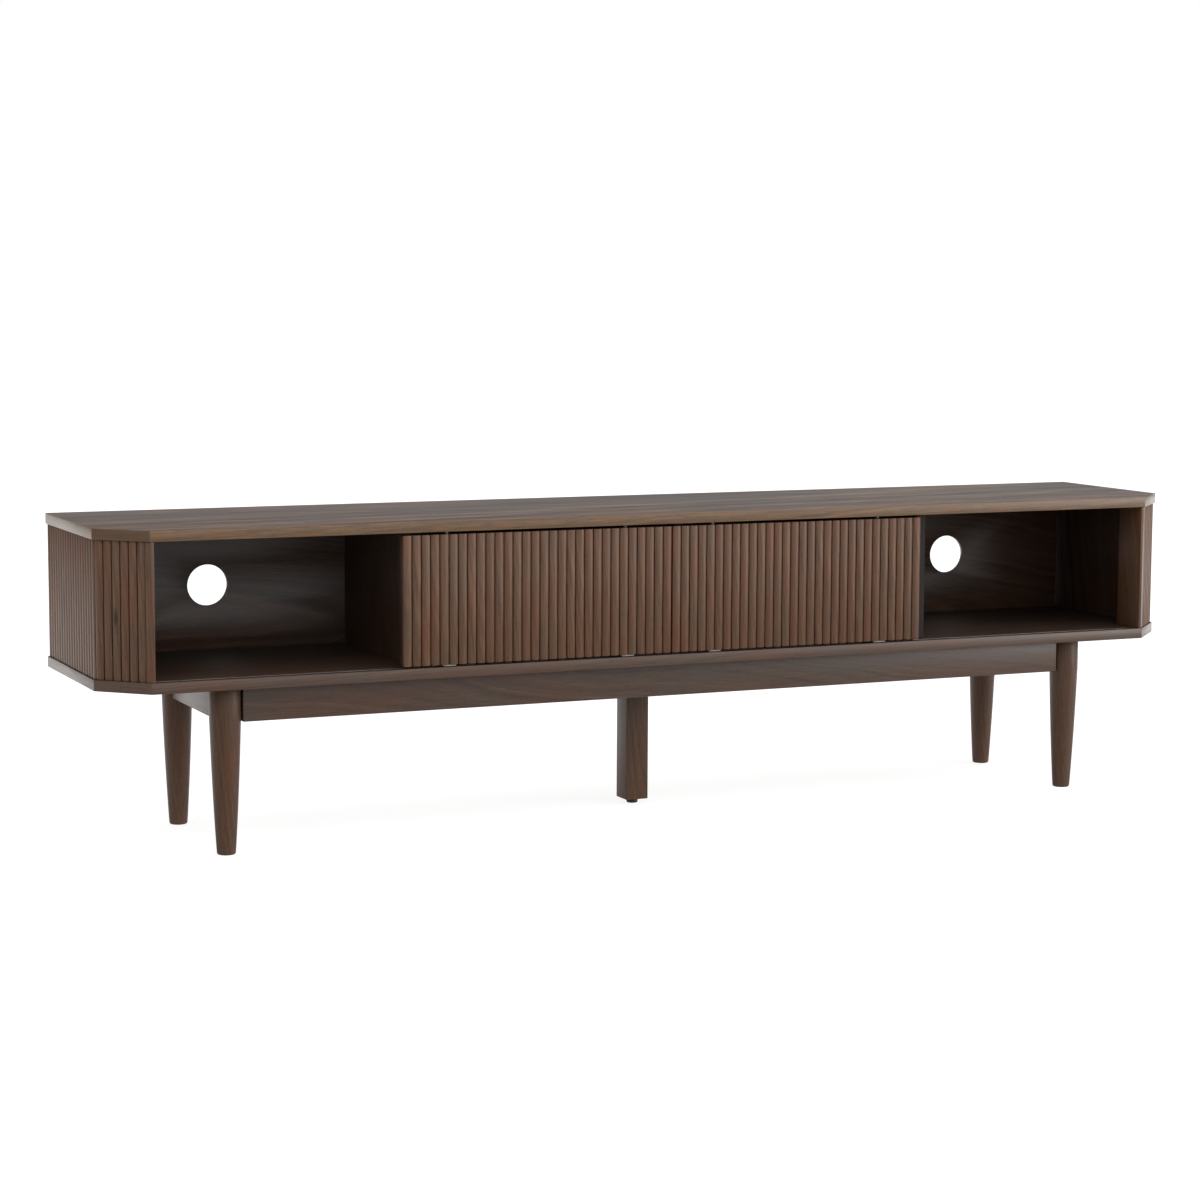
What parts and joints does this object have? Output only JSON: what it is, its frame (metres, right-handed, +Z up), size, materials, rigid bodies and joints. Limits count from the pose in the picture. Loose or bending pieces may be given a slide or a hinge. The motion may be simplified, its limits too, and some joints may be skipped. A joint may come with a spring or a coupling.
{
  "type": "low television cabinet with sliding doors",
  "caption": "Long low television cabinet with reeded walls, angled front corners, open end bays, sliding reeded doors and turned legs.",
  "frame": {"origin": "on the floor below the middle of the case", "axes": "+X along the length, to the right as seen from the front; +Z up; the front with the doors faces -Y"},
  "size_m": [2, 0.38, 0.531],
  "materials": {
    "walnut_stained_wood": "walnut-stained, satin lacquer",
    "walnut_veneer_dark": "dark stained veneer, satin",
    "grey_nylon": "moulded grey nylon",
    "aluminium_channel": "anodised",
    "zinc_plated_steel": "zinc plated",
    "black_plastic": "moulded black"
  },
  "bodies": {
    "case": {"back_apron": "walnut_stained_wood", "back_panel": "walnut_veneer_dark", "bottom_board": "walnut_stained_wood", "bottom_track": "aluminium_channel", "centre_glide_insert": "zinc_plated_steel", "centre_partition": "walnut_veneer_dark", "centre_post": "walnut_stained_wood", "centre_rail": "walnut_veneer_dark", "front_apron": "walnut_stained_wood", "left_back_corner_block": "walnut_veneer_dark", "left_back_leg": "walnut_stained_wood", "left_back_leg_bolt": "zinc_plated_steel", "left_corner_board": "walnut_veneer_dark", "left_corner_slats": "walnut_stained_wood", "left_corner_stile": "walnut_stained_wood", "left_end_board": "walnut_veneer_dark", "left_end_slats": "walnut_stained_wood", "left_front_corner_block": "walnut_veneer_dark", "left_front_leg": "walnut_stained_wood", "left_front_leg_bolt": "zinc_plated_steel", "left_partition": "walnut_veneer_dark", "left_side_rail": "walnut_stained_wood", "right_back_corner_block": "walnut_veneer_dark", "right_back_leg": "walnut_stained_wood", "right_back_leg_bolt": "zinc_plated_steel", "right_corner_board": "walnut_veneer_dark", "right_corner_slats": "walnut_stained_wood", "right_corner_stile": "walnut_stained_wood", "right_end_board": "walnut_veneer_dark", "right_end_slats": "walnut_stained_wood", "right_front_corner_block": "walnut_veneer_dark", "right_front_leg": "walnut_stained_wood", "right_front_leg_bolt": "zinc_plated_steel", "right_partition": "walnut_veneer_dark", "right_side_rail": "walnut_stained_wood", "top_board": "walnut_stained_wood", "top_track": "aluminium_channel"},
    "left_door": {"left_door_panel": "walnut_veneer_dark", "left_door_slats": "walnut_stained_wood", "left_door_left_roller_housing": "grey_nylon", "left_door_left_roller_axle": "zinc_plated_steel", "left_door_left_guide_pin": "grey_nylon", "left_door_right_roller_housing": "grey_nylon", "left_door_right_roller_axle": "zinc_plated_steel", "left_door_right_guide_pin": "grey_nylon"},
    "left_door_left_roller": {"left_door_left_roller": "grey_nylon"},
    "left_door_right_roller": {"left_door_right_roller": "grey_nylon"},
    "right_door": {"right_door_panel": "walnut_veneer_dark", "right_door_slats": "walnut_stained_wood", "right_door_left_roller_housing": "grey_nylon", "right_door_left_roller_axle": "zinc_plated_steel", "right_door_left_guide_pin": "grey_nylon", "right_door_right_roller_housing": "grey_nylon", "right_door_right_roller_axle": "zinc_plated_steel", "right_door_right_guide_pin": "grey_nylon"},
    "right_door_left_roller": {"right_door_left_roller": "grey_nylon"},
    "right_door_right_roller": {"right_door_right_roller": "grey_nylon"},
    "centre_glide": {"centre_glide": "black_plastic"}
  },
  "joints": [
    {"name": "left_door_slide", "type": "slide", "parent": "case", "child": "left_door", "axis": [1, 0, 0], "range_m": [-0.4127, 0]},
    {"name": "right_door_slide", "type": "slide", "parent": "case", "child": "right_door", "axis": [1, 0, 0], "range_m": [0, 0.4607]},
    {"name": "left_door_left_roller_spin", "type": "hinge", "parent": "left_door", "child": "left_door_left_roller", "pos_m": [-0.4263, -0.173, 0.2957], "axis": [0, 1, 0], "continuous": true},
    {"name": "left_door_right_roller_spin", "type": "hinge", "parent": "left_door", "child": "left_door_right_roller", "pos_m": [-0.1055, -0.173, 0.2957], "axis": [0, 1, 0], "continuous": true},
    {"name": "right_door_left_roller_spin", "type": "hinge", "parent": "right_door", "child": "right_door_left_roller", "pos_m": [0.0575, -0.173, 0.2957], "axis": [0, 1, 0], "continuous": true},
    {"name": "right_door_right_roller_spin", "type": "hinge", "parent": "right_door", "child": "right_door_right_roller", "pos_m": [0.3783, -0.173, 0.2957], "axis": [0, 1, 0], "continuous": true},
    {"name": "centre_glide_turn", "type": "hinge", "parent": "case", "child": "centre_glide", "pos_m": [0, 0.02, 0], "axis": [0, 0, 1], "continuous": true}
  ],
  "couplings": [
    {"joint": "left_door_left_roller_spin", "follows": "left_door_slide", "rad_per_m": 125},
    {"joint": "left_door_right_roller_spin", "follows": "left_door_slide", "rad_per_m": 125},
    {"joint": "right_door_left_roller_spin", "follows": "right_door_slide", "rad_per_m": 125},
    {"joint": "right_door_right_roller_spin", "follows": "right_door_slide", "rad_per_m": 125}
  ]
}
